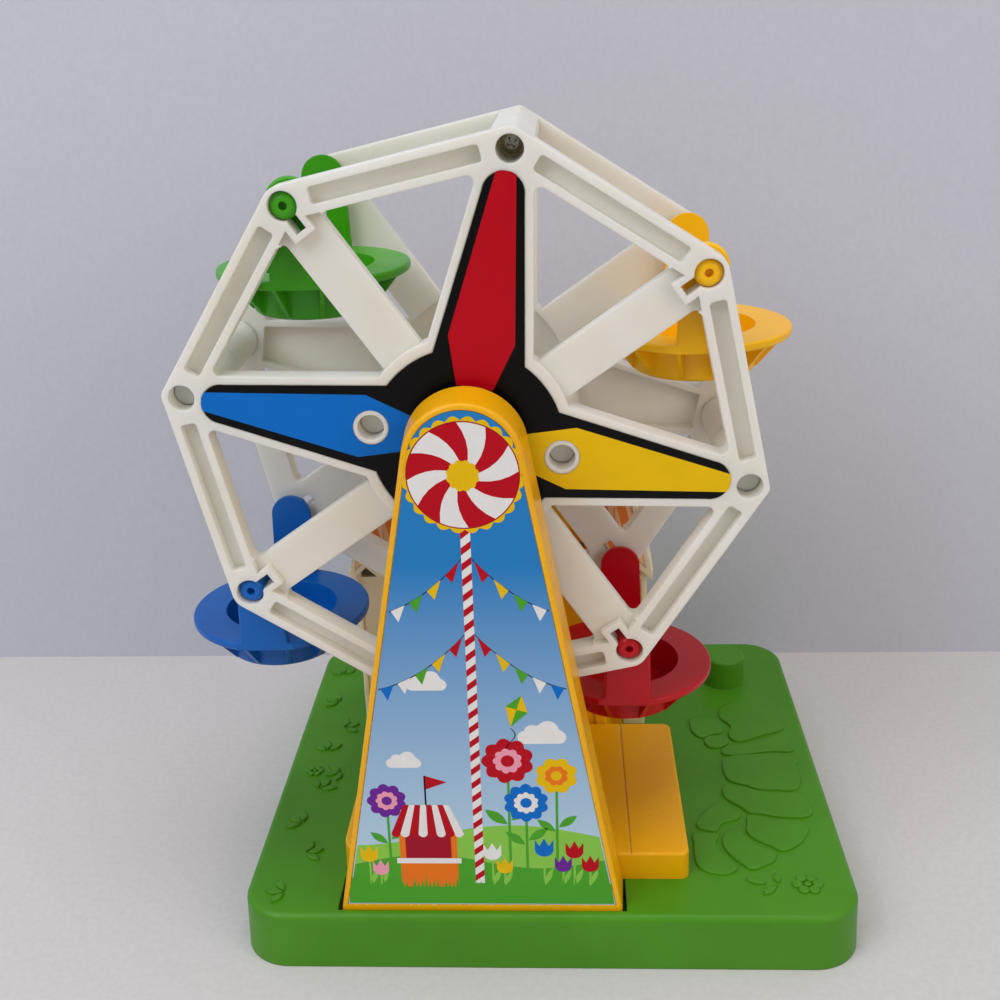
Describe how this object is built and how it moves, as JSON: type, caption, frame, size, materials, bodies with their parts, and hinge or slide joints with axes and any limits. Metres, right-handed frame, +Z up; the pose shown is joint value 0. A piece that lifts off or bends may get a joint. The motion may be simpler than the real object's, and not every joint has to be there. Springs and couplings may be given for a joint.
{
  "type": "toy ferris wheel",
  "caption": "Hand-cranked toy ferris wheel: octagonal wheel with hanging bucket seats between two towers, on a flat base with a striped booth behind.",
  "frame": {"origin": "middle of the base's underside, on the table", "axes": "+X to the right seen from the front, +Y to the back, +Z up"},
  "size_m": [0.2906, 0.243, 0.3424],
  "materials": {
    "base_green": "smooth moulded, slight sheen",
    "plate_green": "moulded, matt",
    "tower_yellow": "smooth moulded, glossy",
    "screw_steel": "zinc plated",
    "shaft_steel": "ground",
    "label_print": "printed sticker, satin",
    "label_black": "printed sticker, glossy",
    "gear_nylon": "natural nylon",
    "booth_cream": "smooth moulded",
    "awning_orange": "moulded stripes",
    "brass_parts": "turned",
    "comb_steel": "hardened, ground",
    "wheel_ivory": "smooth moulded, glossy",
    "seat_green": "smooth moulded, glossy",
    "seat_blue": "smooth moulded, glossy",
    "seat_red": "smooth moulded, glossy",
    "seat_yellow": "smooth moulded, glossy",
    "crank_ivory": "smooth moulded, glossy",
    "grip_red": "smooth moulded, glossy"
  },
  "bodies": {
    "stand": {"base": "base_green", "base_plate": "plate_green", "base_screws": "screw_steel", "front_tower": "tower_yellow", "front_tower_back": "tower_yellow", "front_tower_screws": "screw_steel", "tower_label": "label_print", "front_bush": "gear_nylon", "rear_tower": "tower_yellow", "rear_tower_screws": "screw_steel", "rear_bush": "gear_nylon", "rear_housing": "tower_yellow", "rear_cover": "tower_yellow", "housing_screws": "screw_steel", "platform": "tower_yellow", "stand_screws": "screw_steel", "booth": "booth_cream", "booth_screws": "screw_steel", "booth_roof": "booth_cream", "awning_panels": "awning_orange", "gear_plate_front": "shaft_steel", "gear_plate_rear": "shaft_steel", "gear_pillars": "brass_parts", "gear_plate_screws": "screw_steel", "comb_bracket": "brass_parts", "music_comb": "comb_steel", "comb_screws": "screw_steel", "crank_bush": "gear_nylon"},
    "wheel": {"wheel_front_frame": "wheel_ivory", "wheel_front_posts": "wheel_ivory", "wheel_rear_frame": "wheel_ivory", "wheel_rear_posts": "wheel_ivory", "wheel_screws": "screw_steel", "star_label": "label_black", "axle": "shaft_steel", "axle_gear": "gear_nylon"},
    "green_seat": {"seat_green": "seat_green"},
    "blue_seat": {"seat_blue": "seat_blue"},
    "red_seat": {"seat_red": "seat_red"},
    "yellow_seat": {"seat_yellow": "seat_yellow"},
    "crank": {"crank_shaft": "shaft_steel", "crank_gear": "gear_nylon", "crank_arm": "crank_ivory", "grip_pin": "shaft_steel"},
    "grip": {"crank_grip": "grip_red"},
    "drum": {"drum_gear": "gear_nylon", "drum_arbor": "shaft_steel", "tune_drum": "brass_parts"}
  },
  "joints": [
    {"name": "wheel_spin", "type": "hinge", "parent": "stand", "child": "wheel", "pos_m": [-0.0283, -0.0427, 0.2265], "axis": [0, 1, 0], "continuous": true},
    {"name": "crank_spin", "type": "hinge", "parent": "stand", "child": "crank", "pos_m": [-0.0283, 0.06, 0.1925], "axis": [0, 1, 0], "continuous": true},
    {"name": "drum_spin", "type": "hinge", "parent": "stand", "child": "drum", "pos_m": [-0.0283, 0.05, 0.1685], "axis": [0, 1, 0], "continuous": true},
    {"name": "grip_spin", "type": "hinge", "parent": "crank", "child": "grip", "pos_m": [-0.00209, 0.1, 0.21085], "axis": [0, 1, 0], "continuous": true},
    {"name": "green_seat_swing", "type": "hinge", "parent": "wheel", "child": "green_seat", "pos_m": [-0.09108, -0.0427, 0.31683], "axis": [0, 1, 0], "continuous": true},
    {"name": "blue_seat_swing", "type": "hinge", "parent": "wheel", "child": "blue_seat", "pos_m": [-0.11863, -0.0427, 0.16372], "axis": [0, 1, 0], "continuous": true},
    {"name": "red_seat_swing", "type": "hinge", "parent": "wheel", "child": "red_seat", "pos_m": [0.03448, -0.0427, 0.13617], "axis": [0, 1, 0], "continuous": true},
    {"name": "yellow_seat_swing", "type": "hinge", "parent": "wheel", "child": "yellow_seat", "pos_m": [0.06203, -0.0427, 0.28928], "axis": [0, 1, 0], "continuous": true}
  ],
  "couplings": [
    {"joint": "crank_spin", "follows": "wheel_spin", "ratio": -2.4},
    {"joint": "drum_spin", "follows": "wheel_spin", "ratio": 1.7143}
  ]
}
